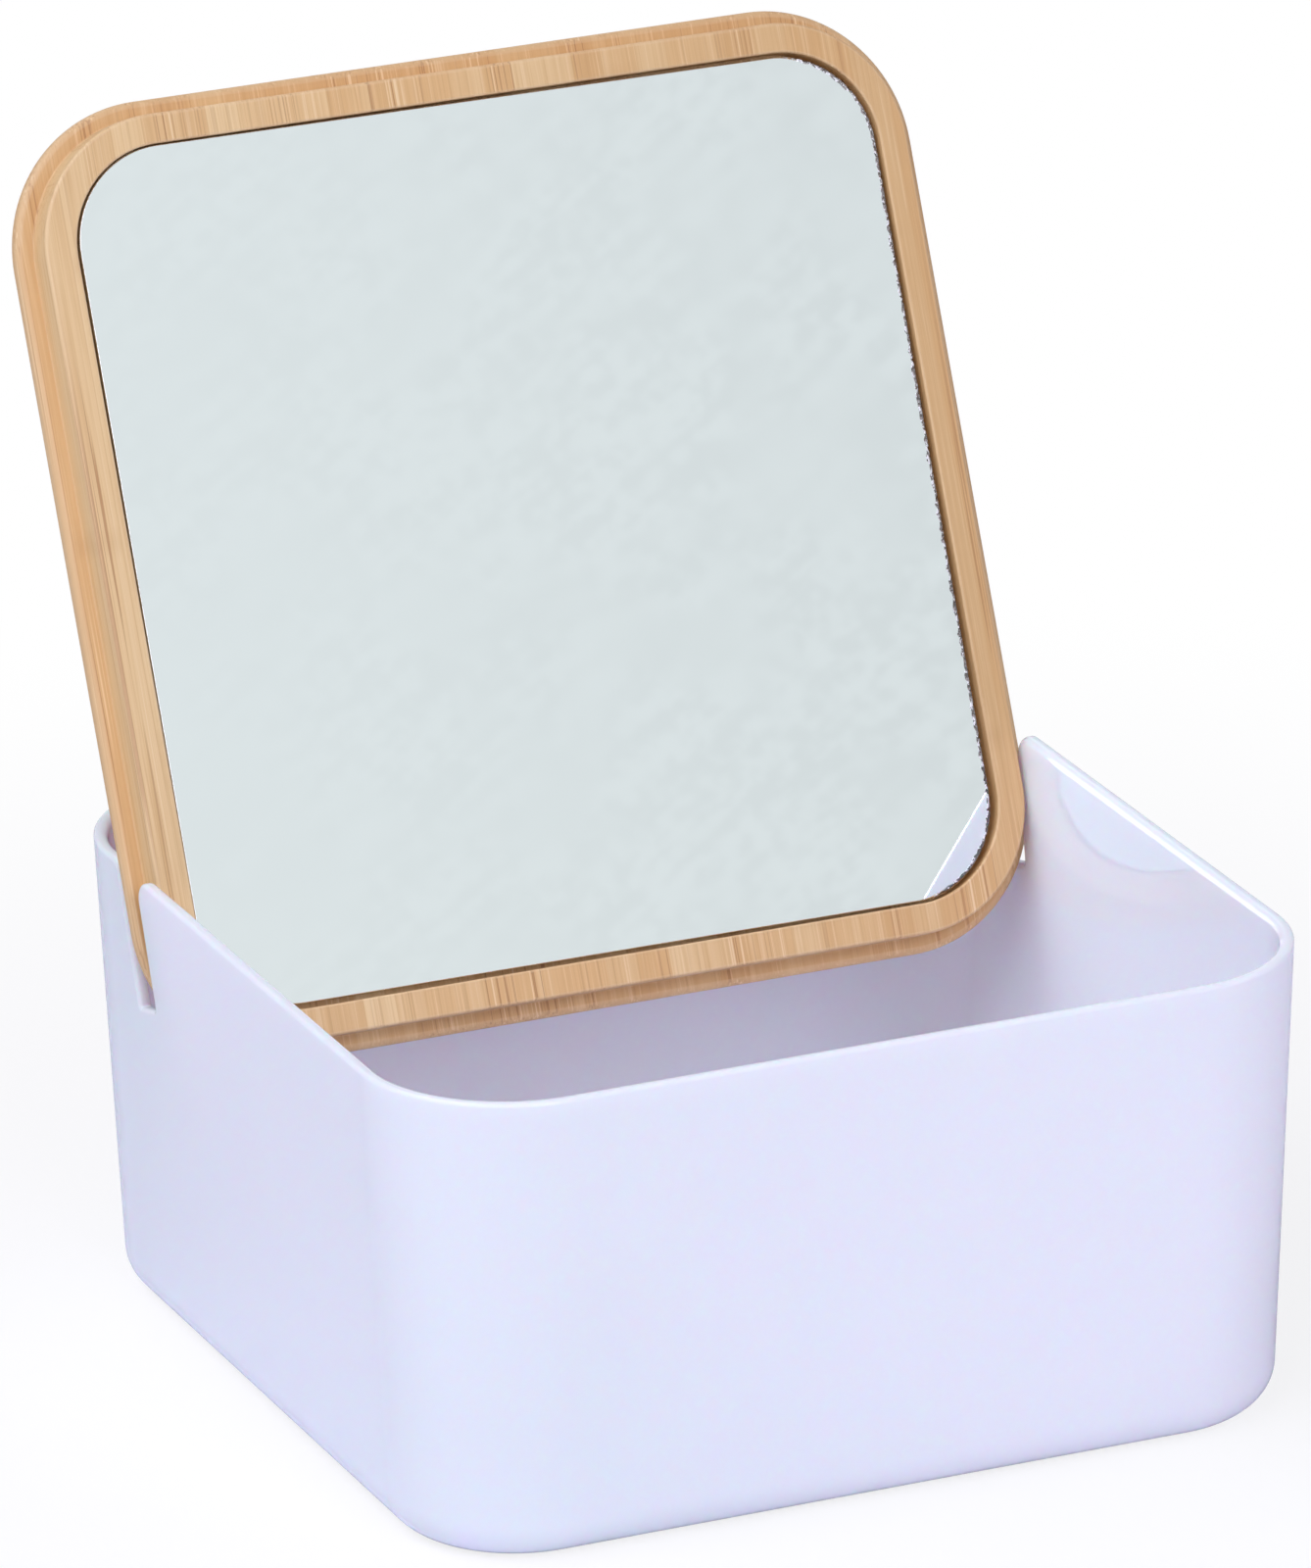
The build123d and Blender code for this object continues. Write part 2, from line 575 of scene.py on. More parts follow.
@dataclass(frozen=True)
class MouldedPlastic(Finish):
    """Satin plastic of the box, a little translucent, so that thin places warm up.

    Attributes:
        body: Colour of the plastic.
        clouded: Colour where the pigment lies a little thicker.
        wear_and_highlight: Paler colour of the lip, a painted highlight along the rim.
        scatter: How much of the light travels inside the walls.
        floor_scatter: How much does in the floor, which lies on what carries the box.
        floor_half: From the middle of the box to where the floor meets the walls.
        reach: How far each of red, green and blue travels there.
        satin: Lowest and highest roughness.
        relief: Strength of the skin's fine bumps.
    """

    NAME: ClassVar[str] = "moulded_plastic"
    body: Colour = (0.89, 0.875, 0.985)
    clouded: Colour = (0.883, 0.868, 0.982)
    wear_and_highlight: Colour = (0.88, 0.88, 0.93)
    scatter: float = 1.0
    floor_scatter: float = 0.2
    floor_half: float = 73 * MM
    reach: Colour = (7.0 * MM, 3.6 * MM, 4.8 * MM)
    satin: Pair = (0.025, 0.045)
    relief: float = 0.08

    def wire(self, wiring: Wiring) -> Inputs:
        """Clouds the colour, streaks the gloss and keeps the floor from glowing.

        Args:
            wiring: Wiring of the material's tree.

        Returns:
            The shader's inputs by name.
        """
        place = wiring.place()
        clouds = wiring.noise(place, 14, detail=3)
        flow = wiring.noise(wiring.mapped(place, (30, 30, 8)), 1, detail=4)
        thick = wiring.span(clouds, 0.35, 0.65, 0, 1)
        # The lip is laid over with a paler colour: a painted highlight along the rim.
        edge_wear_and_light = wiring.calc(Sum.MULTIPLY, wiring.attribute(WEAR_AND_LIGHT_ATTRIBUTE), 0.5)
        base = wiring.colour(self.clouded, self.body, thick)
        skin = wiring.noise(place, 2600, detail=1)
        wave = wiring.noise(place, 60, detail=2)
        normal = wiring.bump(wave, 0.04 * MM, self.relief)
        x, y, z = wiring.axes(place)
        sides = [wiring.calc(Sum.ABSOLUTE, side) for side in (x, y)]
        out, full = self.floor_half, self.scatter
        side = wiring.calc(Sum.MAXIMUM, *sides)
        walls = wiring.span(side, out, out + 4 * MM, 0, full)
        raised = wiring.span(z, 3 * MM, 9 * MM, self.floor_scatter, full)
        return {
            "Base Color": wiring.colour(base, self.wear_and_highlight, edge_wear_and_light),
            "Roughness": wiring.span(flow, 0.3, 0.7, *self.satin),
            "Subsurface Weight": wiring.calc(Sum.MAXIMUM, walls, raised),
            "Subsurface Radius": self.reach,
            "Subsurface Scale": 1.0,
            "IOR": 1.5,
            "Normal": wiring.bump(skin, 0.01 * MM, self.relief, normal),
        }


@dataclass(frozen=True)
class LaminatedBamboo(Finish):
    """Oiled bamboo board, glued up from narrow strips that run up the lid.

    Attributes:
        lean: How far the lid and its grain lean back, in radians.
        rebate: From the frame's origin back to the rebate, square to the lid.
        strip: Mean width of a strip.
        pale: Colour of the palest strips, also laid on as painted light towards the left.
        honey: Colour of the middling strips.
        toast_and_shade: Colour of the darkest strips, also laid on as painted shade over the
            flange and, in part, towards the right.
        fibre: Colour of the dark fibres.
        glint: Colour of the bright fibres.
        wear_and_highlight: Colour of the rounded edges, partly wear and partly a painted
            highlight.
    """

    NAME: ClassVar[str] = "laminated_bamboo"
    lean: float
    rebate: float
    strip: float = 5.8 * MM
    pale: Colour = (0.81, 0.575, 0.285)
    honey: Colour = (0.73, 0.45, 0.19)
    toast_and_shade: Colour = (0.61, 0.345, 0.13)
    fibre: Colour = (0.46, 0.225, 0.08)
    glint: Colour = (0.88, 0.66, 0.37)
    wear_and_highlight: Colour = (0.80, 0.59, 0.36)

    def wire(self, wiring: Wiring) -> Inputs:
        """Lays tones with painted light and shade, fibres, knots, seams, and edge wear with a
        painted highlight over one another, in that order.

        Args:
            wiring: Wiring of the material's tree.

        Returns:
            The shader's inputs by name.
        """
        grain = wiring.mapped(wiring.place(), rotation=(self.lean, 0, 0))
        x, back, up = wiring.axes(grain)
        count = wiring.calc(Sum.MULTIPLY, x, 1 / self.strip)
        cell = {"W": count, "Scale": 1.0, "Randomness": 0.3}
        strips, seams = (
            wiring.add("TexVoronoi", cell, voronoi_dimensions="1D", feature=feature)
            for feature in ("F1", "DISTANCE_TO_EDGE")
        )
        chance = wiring.add("SeparateColor", {0: strips.outputs["Color"]})
        tone, tint, pick = chance.outputs
        pattern = wiring.calc(Sum.MULTIPLY, pick, 40.0)
        broad, bunches, threads, lines = (
            wiring.noise(
                wiring.mapped(grain, (fine, fine, along)), 1, detail, rough, pattern
            )
            for fine, along, detail, rough in (
                (450, 12, 2, 0.5),
                (300, 14, 1, 0.5),
                (3400, 36, 3, 0.6),
                (2500, 14, 1, 0.4),
            )
        )
        behind = wiring.calc(Sum.SUBTRACT, back, self.rebate)
        crowd = wiring.calc(
            Sum.MULTIPLY,
            wiring.span(bunches, 0.42, 0.6, 0.12, 1),
            wiring.span(tone, 0.3, 0.8, 1, 0.3),
        )
        dark = wiring.calc(Sum.MULTIPLY, wiring.span(lines, 0.58, 0.64, 0, 0.85), crowd)
        light = wiring.calc(Sum.MULTIPLY, wiring.span(lines, 0.4, 0.34, 0, 0.7), crowd)
        knot = wiring.calc(Sum.MULTIPLY, self.knots(wiring, up, pick), 0.12)
        # Rounded edges turn paler: partly wear, partly a painted highlight.
        edge_wear_and_light = wiring.calc(Sum.MULTIPLY, wiring.attribute(WEAR_AND_LIGHT_ATTRIBUTE), 0.25)

        # Colour, measure, from and to where on it, and the colour's share at those two.
        tones = [
            (self.pale, tone, 0.3, 0.9, 0, 1),
            (self.toast_and_shade, tint, 0.5, 1.0, 0, 0.7),
            # Paler to the left and darker to the right: partly the strips' own drift in tone,
            # partly painted light falling from the left.
            (self.pale, x, -85 * MM, -40 * MM, 0.8, 0),
            (self.toast_and_shade, x, -40 * MM, 90 * MM, 0, 0.6),
            # Darker behind the rebate, over the flange: painted shade.
            (self.toast_and_shade, behind, -0.15 * MM, -0.05 * MM, 0, 0.55),
            (self.toast_and_shade, broad, 0.5, 0.75, 0, 0.45),
            (self.pale, broad, 0.45, 0.25, 0, 0.5),
            (self.toast_and_shade, threads, 0.5, 0.7, 0, 0.45),
            (self.glint, threads, 0.45, 0.3, 0, 0.4),
        ]
        layers = [(colour, wiring.span(*measure)) for colour, *measure in tones]
        seam = wiring.span(seams.outputs["Distance"], 0.0, 0.03, 0.35, 0)
        layers += [(self.fibre, dark), (self.glint, light), (self.fibre, knot)]
        layers += [(self.toast_and_shade, seam), (self.wear_and_highlight, edge_wear_and_light)]
        body: Value = self.honey
        for colour, share in layers:
            body = wiring.colour(body, colour, share)
        sunken = wiring.calc(Sum.MULTIPLY, dark, 0.8)
        height = wiring.calc(Sum.SUBTRACT, threads, sunken)
        return {
            "Base Color": body,
            "Roughness": wiring.span(threads, 0.3, 0.7, 0.42, 0.58),
            "IOR": 1.45,
            "Normal": wiring.bump(height, 0.06 * MM, 0.5),
        }

    def knots(self, wiring: Wiring, up: Socket, pick: Socket) -> Socket:
        """Marks the narrow band that a joint of the cane leaves across its strip.

        Args:
            wiring: Wiring of the material's tree.
            up: Height up the lid.
            pick: Random number of the strip.

        Returns:
            One in the middle of a band and zero away from it.
        """
        turns = wiring.calc(Sum.ADD, wiring.calc(Sum.MULTIPLY, up, 4.0), pick)
        share = wiring.calc(Sum.FRACTION, turns)
        away = wiring.calc(Sum.ABSOLUTE, wiring.calc(Sum.SUBTRACT, share, 0.5))
        return wiring.span(away, 0.0, 0.014, 1, 0)


@dataclass(frozen=True)
class SilveredGlass(Finish):
    """Mirror pane: clear over silver, with a ground edge that carries painted shade and a
    painted sparkle.

    Attributes:
        silver: Colour of what it reflects.
        ground: Dark colour of the ground edge, a painted shade of the gap round the pane.
        chip_sparkle: White of the chips in the edge, partly their frosting and partly a painted
            sparkle.
    """

    NAME: ClassVar[str] = "silvered_glass"
    silver: Colour = (0.883, 0.883, 0.883)
    ground: Colour = (0.17, 0.15, 0.145)
    chip_sparkle: Colour = (0.95, 0.95, 0.94)

    def wire(self, wiring: Wiring) -> Inputs:
        """Darkens the ground edge as painted shade of the gap and roughens it, and chips the
        inner part of it white as a painted sparkle.

        Args:
            wiring: Wiring of the material's tree.

        Returns:
            The shader's inputs by name.
        """
        place = wiring.place()
        edge = wiring.attribute(WEAR_AND_LIGHT_ATTRIBUTE)
        grit = wiring.noise(place, 1300, detail=2)
        film = wiring.noise(place, 35, detail=3)
        # White chips in the inner part of the edge: a painted sparkle.
        chips_and_sparkle = wiring.calc(
            Sum.MULTIPLY,
            wiring.span(grit, 0.51, 0.56, 0, 1),
            wiring.span(edge, 0.3, 0.45, 0, 1),
            wiring.span(edge, 0.7, 0.9, 1, 0.1),
        )
        # The ground edge's dark colour is painted shade of the gap round the pane.
        gap_shade = wiring.span(edge, 0.35, 0.6, 0, 1)
        base = wiring.colour(self.silver, self.ground, gap_shade)
        rough = wiring.calc(Sum.MULTIPLY, edge, wiring.span(grit, 0.4, 0.6, 0.1, 0.4))
        clear = wiring.span(film, 0.4, 0.7, 0.01, 0.025)
        bumps = wiring.calc(Sum.MULTIPLY, edge, grit)
        return {
            "Base Color": wiring.colour(base, self.chip_sparkle, chips_and_sparkle),
            "Metallic": wiring.calc(Sum.SUBTRACT, 1.0, chips_and_sparkle),
            "Roughness": wiring.calc(Sum.ADD, clear, rough),
            "Normal": wiring.bump(bumps, 0.3 * MM, 1.0),
        }


@dataclass(frozen=True)
class FoamTape(Finish):
    """White double-sided foam tape with fine open cells.

    Attributes:
        foam: Colour of the foam.
        shade: Colour inside its cells.
        cells: Cells in a metre.
    """

    NAME: ClassVar[str] = "foam_tape"
    foam: Colour = (0.84, 0.84, 0.82)
    shade: Colour = (0.70, 0.70, 0.67)
    cells: float = 3500.0

    def wire(self, wiring: Wiring) -> Inputs:
        """Pits the foam with cells.

        Args:
            wiring: Wiring of the material's tree.

        Returns:
            The shader's inputs by name.
        """
        cell = {"Vector": wiring.place(), "Scale": self.cells}
        depth = wiring.add("TexVoronoi", cell).outputs["Distance"]
        deep = wiring.span(depth, 0.2, 0.7, 0, 1)
        return {
            "Base Color": wiring.colour(self.foam, self.shade, deep),
            "Roughness": 0.9,
            "Normal": wiring.bump(depth, 0.05 * MM, 0.6),
        }


# ---- The box ----


@dataclass
class BoxShell:
    """The moulded box: drafted walls, a soft base edge, a round lip and two side slots.

    Attributes:
        high: Highest corner of the box in the frame.
        corner: Radius of the outer corners in plan, at the rim.
        wall: Thickness of the walls.
        floor: Thickness of the base.
        draft: How far the walls draw in towards the base, in radians.
        base_round: Radius between the walls and the face that it rests on.
        lip_rounds: Radii of the outer and the inner edge of the rim and of the slots.
        lip_depth: How far down the wall the lip's own rows run.
        slot_width: Across a slot.
        slot_depth: From the rim down to the middle of a slot's bottom.
        slot_lean: How far the slots lean back, in radians.
        slot_from_back: From the back of the rim to the middle of a slot's bottom.
        mouth_rounds: Radii along a slot's outline, from front to back.
    """

    high: Vector
    corner: float = 27 * MM
    wall: float = 2.5 * MM
    floor: float = 2.5 * MM
    draft: float = math.radians(2.5)
    base_round: float = 8 * MM
    lip_rounds: Pair = (0.75 * MM, 1.25 * MM)
    lip_depth: float = 1.6 * MM
    slot_width: float = 7.7 * MM
    slot_depth: float = 24.2 * MM
    slot_lean: float = math.radians(14.0)
    slot_from_back: float = 42.85 * MM
    mouth_rounds: tuple[float, ...] = (4.0 * MM, 0.6 * MM, 0.6 * MM, 2.5 * MM)

    @property
    def core_half(self) -> float:
        """Half the side of the square through the corners' centres."""
        return self.high.x - self.corner

    def wall_profile(self, bottom: float, inset: float, radius: float) -> Array:
        """Works out one face of the wall, from its flat bottom to just past its round.

        The wall's face is the line that leans outwards by the draft, and the bottom is
        level.  The corner between them is rounded.

        Args:
            bottom: Height of the flat.
            inset: How far the face lies inside the outer face.
            radius: Of the round.

        Returns:
            Rows of (reach out of the core, height).
        """
        slope = math.tan(self.draft)
        reach = self.corner - inset - (self.high.z - bottom) * slope
        foot = np.array([reach, bottom])
        rise = np.array([slope, 1.0]) * 2 * radius
        corners = np.array([foot - (2 * radius, 0), foot, foot + rise])
        points, _ = rounded_line(corners, np.array([radius]), 16, LEAD)
        return points[1:-1]

    def slot_line(self) -> tuple[Array, Array]:
        """Walks a side wall's edge in (y, z): the rim, into the slot and out of it.

        Returns:
            Points from front to back, and the direction of travel at each.
        """
        up = np.array([math.sin(self.slot_lean), math.cos(self.slot_lean)])
        over = np.array([up[1], -up[0]])
        rim = self.high.z
        middle = np.array([self.high.y - self.slot_from_back, rim - self.slot_depth])
        front = middle - over * self.slot_width / 2
        rear = middle + over * self.slot_width / 2
        mouth = [foot + up * (rim - foot[1]) / up[1] for foot in (front, rear)]
        end = self.core_half - LEAD
        corners = np.array([(-end, rim), mouth[0], front, rear, mouth[1], (end, rim)])
        return rounded_line(corners, np.array(self.mouth_rounds), 12, LEAD)

    def rim_columns(self) -> tuple[Track, Array, Array, Array]:
        """Lays out columns round the rim, with the two slots in the side walls.

        A side wall's column stands at a place along the wall and at a height.  Its fall
        is the way into the wall's material, square to the edge, as (along, up).

        Returns:
            The track, the height and the fall of each column, and which columns run all
            the way down the wall.
        """
        line, heading = self.slot_line()
        fall = -left_of(heading)
        columns = len(line)
        plain = Track.rectangle((self.core_half,) * 2)
        count = len(plain.core) // 4
        quarters = []
        for quarter in range(4):
            own = slice(quarter * count, (quarter + 1) * count)
            core, outward = plain.core[own], plain.outward[own]
            height = np.full(count, self.high.z)
            down = np.tile([0.0, -1.0], (count, 1))
            keep = np.ones(count, bool)
            if quarter % 2 == 0:
                turn = 1 - quarter
                along = line[::turn]
                far = np.full(columns, self.core_half)
                side = np.column_stack([far, turn * along[:, 0]])
                core = np.vstack([left_of(side, quarter), core[2:]])
                outward = np.vstack([np.tile(outward[:1], (columns, 1)), outward[2:]])
                height = np.concatenate([along[:, 1], height[2:]])
                down = np.vstack([fall[::turn] * (turn, 1), down[2:]])
                keep = np.concatenate([np.zeros(columns, bool), keep[2:]])
                keep[[0, columns - 1]] = True
            quarters.append((core, outward, height, down, keep))
        joined = [np.concatenate(parts) for parts in zip(*quarters, strict=True)]
        return Track(*joined[:2]), *joined[2:]

    def lip(self, track: Track, height: Array, fall: Array) -> tuple[Array, Array]:
        """Carries the lip's round section along the rim and through the slots.

        A point of the section lies a across the wall and b into it: the column's outer
        edge + a * across + b * fall, where the fall lies in the wall's leaning face.

        Args:
            track: Columns round the rim.
            height: Height of each column's edge.
            fall: Way into the material at each column, as (along the wall, up).

        Returns:
            The points, and how far each row lies on the lip's round, where a highlight is
            painted.
        """
        deep, wide = self.lip_depth, self.wall
        corners = np.array([(0, deep), (0, 0), (wide, 0), (wide, deep)])
        section, _ = rounded_line(corners, np.array(self.lip_rounds), 8, 0.15 * MM)
        slope = math.tan(self.draft)
        flat = np.zeros((len(height), 1))
        outward = np.hstack([track.outward, flat])
        along = np.hstack([left_of(track.outward), flat])
        rise = outward * slope + (0, 0, 1)
        into = unit(fall[:, :1] * along + fall[:, 1:] * rise)
        reach = self.corner - (self.high.z - height) * slope
        plan = track.core + reach[:, None] * track.outward
        edge = np.column_stack([plan, height])
        across, depth = section[:, :1, None], section[:, 1:, None]
        points = edge[None] - across * outward[None] + depth * into[None]
        return points, np.clip(1 - section[:, 1:] / min(self.lip_rounds), 0, 1)

    def build(self) -> Piece:
        """Builds the shell as one closed skin.

        Returns:
            The box, standing in for its construction solid.
        """
        skin = Skin()
        track, height, fall, keep = self.rim_columns()
        lip = skin.add_points(*self.lip(track, height, fall))
        skin.add_grid(lip)
        walls = Track(track.core[keep], track.outward[keep])
        down = np.flatnonzero(keep)
        faces = [
            (0.0, 0.0, self.base_round, lip[0]),
            (self.floor, self.wall, self.base_round - self.wall, lip[-1]),
        ]
        for *shape, edge in faces:
            rows = skin.add_points(walls.sweep(self.wall_profile(*shape)))
            skin.add_grid(rows)
            skin.add_face(rows[0])
            self.join_lip(skin, rows[-1], edge, down)
        shell = skin.to_object("moulded_box", Matrix())
        shell.data.materials.append(MouldedPlastic().build())
        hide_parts("box_shell")
        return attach(shell, Body.BOX.value)

    def join_lip(self, skin: Skin, wall: Array, edge: Array, down: Array) -> None:
        """Closes one face of the wall between its top row and the lip.

        Neighbouring columns are joined by a four-sided face.  Where a slot's columns
        lie between two of the wall's, one flat face takes them all.

        Args:
            skin: Skin that gets the faces.
            wall: Top row of the wall's own columns.
            edge: Row of the lip, with every column.
            down: Numbers of the lip's columns that the wall has too.
        """
        beside, following = np.roll(wall, -1), np.roll(down, -1)
        gap = (following - down) % len(edge)
        near = gap == 1
        quads = np.column_stack([wall, beside, edge[following], edge[down]])
        skin.faces += quads[near].tolist()
        for index in np.flatnonzero(~near):
            stretch = (down[index] + np.arange(gap[index] + 1)) % len(edge)
            skin.add_face(np.array([wall[index], beside[index], *edge[stretch][::-1]]))


# ---- The lid ----


@dataclass
class MirrorLid:
    """The standing lid: bamboo board, mirror pane and foam tape.

    The lid's own frame has x across, y up the lid and z out of the mirror, with its
    origin in the middle of the flange's front face.

    Attributes:
        up: Unit vector up the lid.
        pane_centre: Middle of the construction model's mirror pane.
        edge: Outline of the lid.
        plug_side: Outline of the plug, which is milled a little off the lid's own.
        pocket: Outline of the mirror's pocket.
        pane_edge: Outline of the pane, which lies a little askew in its pocket.
        flange: Thickness of the thin edge.
        plug: How far the plug stands out of the flange.
        pocket_floor: Height of the pocket's floor.
        pane_back: Height of the pane's back.
        pane_face: Height of the pane's face.
        fine_bevel: Width and depth of the pane's ground edge where it is narrow.
        broad_bevel: The same on the right, where more was ground off.
    """

    up: Vector
    pane_centre: Vector
    edge: Outline = Outline((85.0 * MM, 84.6 * MM), 26.6 * MM)
    plug_side: Outline = Outline((81.65 * MM, 81.5 * MM), 23.3 * MM)
    pocket: Outline = Outline(
        (76.09 * MM, 76.17 * MM), 17.8 * MM, (0.34 * MM, 0.09 * MM)
    )
    pane_edge: Outline = Outline(
        (75.4 * MM, 75.52 * MM), 17.3 * MM, (0.1 * MM, 0.2 * MM), -0.0045, 160
    )
    flange: float = 3.1 * MM
    plug: float = 6.3 * MM
    pocket_floor: float = 1.8 * MM
    pane_back: float = 2.5 * MM
    pane_face: float = 5.5 * MM
    fine_bevel: Pair = (0.13 * MM, 0.13 * MM)
    broad_bevel: Pair = (0.75 * MM, 0.2 * MM)

    @property
    def lean(self) -> float:
        """How far the lid leans back, in radians."""
        return math.atan2(self.up.y, self.up.z)

    @property
    def place(self) -> Matrix:
        """The lid's frame in the row frame."""
        across = Vector((1, 0, 0))
        out = across.cross(self.up)
        origin = self.pane_centre - out * (self.pane_back + self.pane_face) / 2
        turn = Matrix((across, self.up, out)).transposed()
        return Matrix.Translation(origin) @ turn.to_4x4()

    def board(self) -> Piece:
        """Builds the bamboo board: flange, rebate, plug and pocket.

        Each of the three outlines carries its own part of the section, as
        (inset from the outline, height), and they meet on the flats between them.

        Returns:
            The board, standing in for its construction solid.
        """
        back, top, sunk = -self.flange, self.plug, self.pocket_floor
        under, over, step, lap, far = (x * MM for x in (3, 1.8, 1.2, 2.5, 2))
        sections = [
            (self.edge, [(under, back), (0, back), (0, 0), (over, 0)], (1.2, 1.2)),
            (self.plug_side, [(-step, 0), (0, 0), (0, top), (lap, top)], (0.2, 0.55)),
            (self.pocket, [(-lap, top), (0, top), (0, sunk), (far, sunk)], (0.35, 0.2)),
        ]
        skin, rows = Skin(), []
        for outline, corners, radii in sections:
            rounds = np.array(radii) * MM
            line, heading = rounded_line(np.array(corners), rounds, 8, 0.12 * MM)
            # The bamboo's rounds get its edge wear and painted highlight.
            rows.append(skin.add_points(outline.sweep(line), bulge(heading)[:, None]))
        skin.close_tube(np.vstack(rows))
        board = skin.to_object("bamboo_board", self.place)
        rebate = self.place.translation.dot(self.place.col[2].xyz)
        board.data.materials.append(LaminatedBamboo(self.lean, -rebate).build())
        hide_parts("lid_board")
        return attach(board, Body.LID.value)

    def pane_points(self, bevel: Pair) -> tuple[Array, Array]:
        """Carries the pane's section round its outline.

        Args:
            bevel: Width and depth of the ground edge.

        Returns:
            The section's rows of (inset from the outline, height), and the points.
        """
        width, depth = bevel
        inner, arris = 2 * MM, 0.3 * MM
        back, face = self.pane_back, self.pane_face
        corners = [(inner, back), (arris, back), (0, back + arris)]
        corners += [(0, face - depth), (width, face), (inner, face)]
        rounds = np.array([0.06, 0.06, 0.05, 0.05]) * MM
        section, _ = rounded_line(np.array(corners), rounds, 3, 0.02 * MM)
        return section, self.pane_edge.sweep(section)

    def pane(self) -> Piece:
        """Builds the mirror pane with its ground edge.

        The broad bevel takes over from the fine one towards the right, by the smooth
        step 3 t^2 - 2 t^3 of a column's outward direction.  Its width wanders from
        column to column, as if the glass had been nibbled.

        Returns:
            The pane, standing in for its construction solid.
        """
        _, fine = self.pane_points(self.fine_bevel)
        section, broad = self.pane_points(self.broad_bevel)
        facing = np.clip(self.pane_edge.track.outward[:, 0] / 0.6, 0, 1)
        nibble = np.random.default_rng(11).uniform(0.45, 1.25, len(facing))
        right = (facing**2 * (3 - 2 * facing))[:, None]
        width, depth = self.broad_bevel
        inset, height = section[:, :1], section[:, 1:]
        ground = (height > self.pane_face - 1.1 * depth) & (inset < 1.02 * width)
        inward = 1 - 0.6 * np.clip(inset / width, 0, 1)
        # Weight of the ground edge, strongest on the broad bevel to the right: the finish paints
        # shade and sparkle where it is high.
        edge_wear_and_light = ground * (0.25 + 0.75 * right.T * inward)
        share = right * nibble[:, None]
        skin = Skin()
        skin.close_tube(skin.add_points(fine + (broad - fine) * share, edge_wear_and_light))
        pane = skin.to_object("mirror_pane", self.place)
        pane.data.materials.append(SilveredGlass().build())
        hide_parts("mirror_glass")
        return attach(pane, Body.LID.value)

    def tape(self) -> Piece:
        """Dresses the foam tape, which keeps its construction solid.

        Returns:
            The tape.
        """
        tape = frame["nodes"]["mirror_tape"]
        tape.data.materials.clear()
        tape.data.materials.append(FoamTape().build())
        return tape


# ---- The studio ----


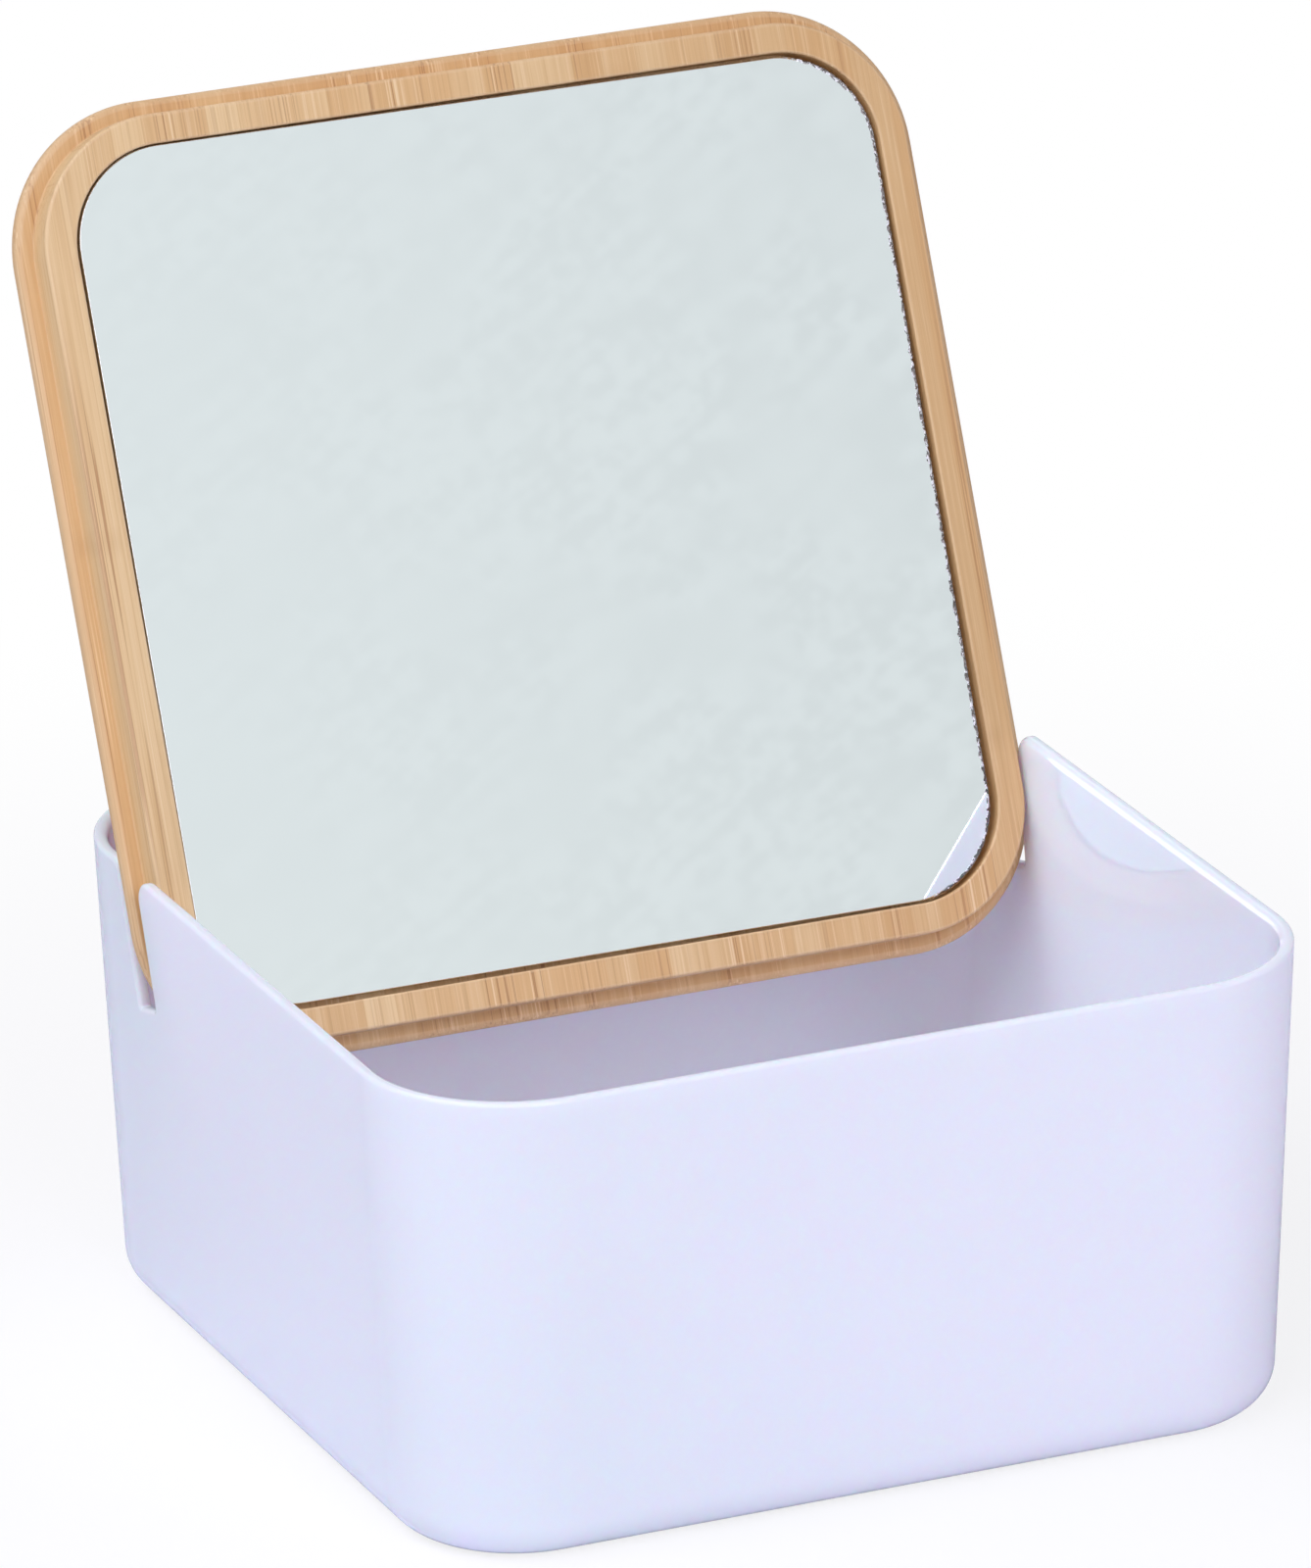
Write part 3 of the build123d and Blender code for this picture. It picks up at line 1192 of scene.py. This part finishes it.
@dataclass
class Studio:
    """Plain pale floor, soft light, white surroundings and the camera.

    Attributes:
        target: Point in the middle of the view.
        distance: From the target to the camera.
        yaw: Turn of the camera about the upright axis, in radians.
        pitch: How far the camera looks down, in radians.
        roll: Tilt of the camera about its own axis, in radians.
        lens: Focal length over the sensor's height.
        sensor: Height of the sensor, in millimetres.
        floor_half: Half the side of the floor.
        paint: Colour of the floor, to the light and to the eye.
        white_from: From and to where on the floor the eye sees plain white.
        ambient: Light from all round.
        tint: Colour of the lamps.
        wall: Colour of the room, as the mirror shows it.
        cool: Colour of the room's left side, as gloss shows it.
    """

    target: Vector = field(default_factory=lambda: Vector((-5.6162, 0, 103.7652)) * MM)
    distance: float = 2.511781
    yaw: float = math.radians(-23.2564)
    pitch: float = math.radians(20.3362)
    roll: float = math.radians(-0.9423)
    lens: float = 9.3382
    sensor: float = 24.0
    floor_half: float = 4.0
    paint: tuple[Colour, Colour] = ((0.84, 0.86, 0.90), (1.0, 1.0, 0.98))
    white_from: Pair = (0.14, 0.4)
    ambient: Colour = (0.094, 0.094, 0.112)
    tint: Colour = (0.94, 0.942, 1.117)
    wall: Colour = (0.785, 0.856, 0.872)
    cool: Colour = (0.78, 0.93, 1.0)

    def camera(self) -> Piece:
        """Sets up the camera.

        From looking straight down it is rolled, lifted until it looks down by the pitch
        and turned by the yaw, and it stands back from the target by the distance.

        Returns:
            The camera, which is made the scene's own.
        """
        data = bpy.data.cameras.new("studio_camera")
        data.sensor_fit = "VERTICAL"
        data.sensor_height = self.sensor
        data.lens = self.lens * self.sensor
        data.clip_end = 100.0
        camera = placed("studio_camera", data)
        place = Matrix.Translation(self.target) @ Matrix.Rotation(self.yaw, 4, "Z")
        place @= Matrix.Rotation(math.pi / 2 - self.pitch, 4, "X")
        place @= Matrix.Rotation(self.roll, 4, "Z")
        camera.matrix_world = place @ Matrix.Translation((0, 0, self.distance))
        bpy.context.scene.camera = camera
        return camera

    def floor(self) -> Piece:
        """Lays the floor: a wide flat square, white to the eye and pale to the light.

        Returns:
            The floor.
        """
        mesh = bpy.data.meshes.new("floor")
        plan = np.array([(-1, -1, 0), (1, -1, 0), (1, 1, 0), (-1, 1, 0)])
        mesh.from_pydata((plan * self.floor_half).tolist(), [], [[0, 1, 2, 3]])
        floor = placed("floor", mesh)
        material = bpy.data.materials.new("pale_floor")
        material.use_nodes = True
        wiring = Wiring(material.node_tree)
        seen = wiring.add("LightPath").outputs["Is Camera Ray"]
        paint = wiring.colour(*self.paint, seen)
        matte = wiring.add("BsdfDiffuse", {"Color": paint})
        white = wiring.add("Emission", {"Color": (1, 1, 1, 1), "Strength": 1})
        away = wiring.add("VectorMath", {0: wiring.place()}, operation="LENGTH")
        glow = wiring.span(away.outputs["Value"], *self.white_from, 0.8, 1)
        share = wiring.calc(Sum.MULTIPLY, seen, glow)
        both = {0: share, 1: matte.outputs[0], 2: white.outputs[0]}
        mixed = wiring.add("MixShader", both).outputs[0]
        wiring.add("OutputMaterial", {"Surface": mixed})
        mesh.materials.append(material)
        return floor

    def surroundings(self) -> bpy.types.World:
        """Sets the light from all round, the white backdrop and the room in the mirror.

        The room is faintly mottled and streaked, a little brighter to the right and
        cooler to the left.

        Returns:
            The world.
        """
        world = bpy.data.worlds.new("surroundings")
        world.use_nodes = True
        bpy.context.scene.world = world
        wiring = Wiring(world.node_tree)
        way = wiring.add("TexCoord").outputs["Generated"]
        side = wiring.axes(way)[0]
        path = wiring.add("LightPath").outputs
        mottle = wiring.noise(way, 900, detail=3)
        streak = wiring.noise(wiring.mapped(way, (170, 170, 1100), (0.5, 0.6, 0)), 1, 3)
        grey = wiring.calc(
            Sum.ADD,
            wiring.calc(Sum.MULTIPLY, mottle, 0.8),
            wiring.calc(Sum.MULTIPLY, streak, 0.7),
        )
        darker, brighter = (
            tuple(factor * part for part in self.wall) for factor in (0.93, 1.05)
        )
        room = wiring.colour(self.wall, darker, wiring.span(grey, 0.62, 0.88, 0, 1))
        room = wiring.colour(room, brighter, wiring.span(side, 0.33, 0.4, 0.7, 0))
        room = wiring.colour(self.cool, room, wiring.span(side, -0.25, -0.1, 0, 1))
        seen = wiring.colour(room, (1.0, 1.0, 1.0), path["Is Camera Ray"])
        rays = [path[f"Is {kind} Ray"] for kind in ("Camera", "Glossy", "Transmission")]
        light = wiring.colour(self.ambient, seen, wiring.calc(Sum.MAXIMUM, *rays))
        sky = wiring.add("Background", {"Color": light, "Strength": 1})
        wiring.add("OutputWorld", {"Surface": sky.outputs[0]})
        return world

    def lamps(self) -> list[Piece]:
        """Hangs large soft lamps with square faces, turned to the box.

        Returns:
            The lamps.
        """
        # Name, place, side of the face, and power in watts.
        plan = [
            ("front_lamp", (0.0, -1.95, 1.15), 1.0, 15.6),
            ("key_lamp", (-1.15, -1.0, 1.6), 1.2, 15.8),
            ("high_lamp", (-1.3, 0.3, 1.9), 1.4, 21.5),
            ("right_lamp", (1.7, -0.9, 1.3), 1.2, 7.0),
            ("back_lamp", (0.0, 1.7, 1.7), 1.5, 4.0),
        ]
        lamps = []
        for name, at, size, power in plan:
            data = bpy.data.lights.new(name, "AREA")
            data.shape, data.size = "SQUARE", size
            data.energy, data.color = power, self.tint
            lamp = placed(name, data)
            lamp.location = at
            way = Vector((0, 0, 0.08)) - lamp.location
            lamp.rotation_euler = way.to_track_quat("-Z", "Y").to_euler()
            lamps.append(lamp)
        return lamps


def main() -> None:
    """Builds the studio and the object, and reports each piece."""
    logging.basicConfig(level=logging.INFO, format="%(name)s: %(message)s")
    bpy.context.scene.view_settings.view_transform = "Standard"
    studio = Studio()
    studio.camera()
    studio.surroundings()
    studio.floor()
    studio.lamps()

    _, rim_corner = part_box("box_shell")
    box = BoxShell(rim_corner)
    slide = next(joint for joint in frame["joints"] if joint["name"] == "lid_lift")
    pane_low, pane_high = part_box("mirror_glass")
    lid = MirrorLid(Vector(slide["axis"]).normalized(), (pane_low + pane_high) / 2)
    for piece in (box.build(), lid.board(), lid.pane(), lid.tape()):
        log.info("%s: %d faces", piece.name, len(piece.data.polygons))


if __name__ == "__main__":
    main()
